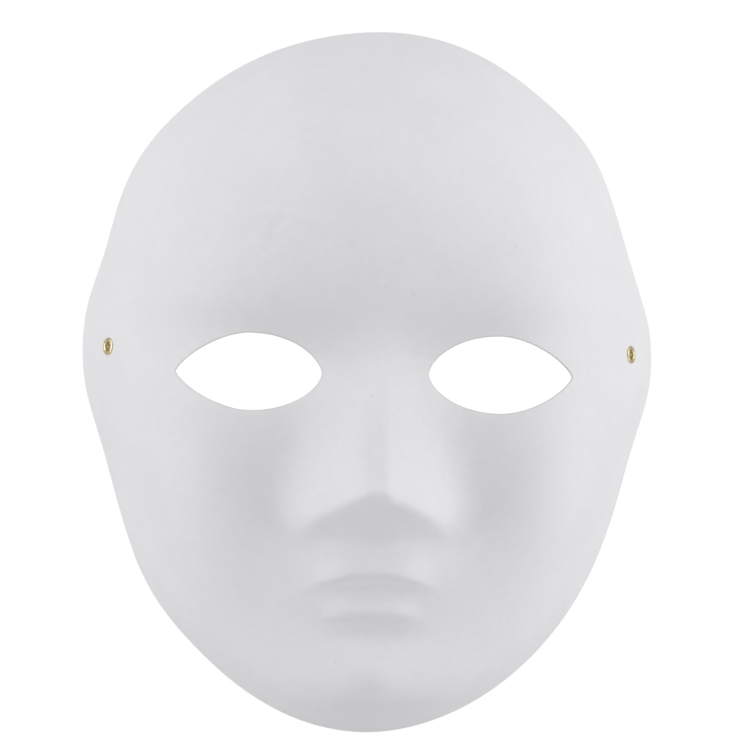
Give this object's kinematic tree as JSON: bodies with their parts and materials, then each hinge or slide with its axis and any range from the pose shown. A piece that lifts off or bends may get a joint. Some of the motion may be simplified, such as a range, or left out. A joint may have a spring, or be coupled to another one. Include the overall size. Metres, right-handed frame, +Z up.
{
  "type": "blank full-face paper pulp mask",
  "caption": "Plain white full-face mask of moulded paper pulp with open lens-shaped eye holes, closed nose and lips in relief, and a small brass eyelet at each side for a head cord.",
  "frame": {"origin": "middle of the flat rim plane at the level of the two eyelets, where a wearer's face sits", "axes": "+Z up, -Y the way the mask looks, +X towards the wearer's left; the rim lies in the plane y = 0"},
  "size_m": [0.1959, 0.0771, 0.2408],
  "materials": {
    "pulp": "matte white, fine fibre texture",
    "eyelet_brass": "pressed brass, slightly dull"
  },
  "bodies": {
    "root": {"mask_shell": "pulp", "left_eyelet": "eyelet_brass", "right_eyelet": "eyelet_brass", "left_eyelet_washer": "eyelet_brass", "right_eyelet_washer": "eyelet_brass"}
  },
  "joints": []
}
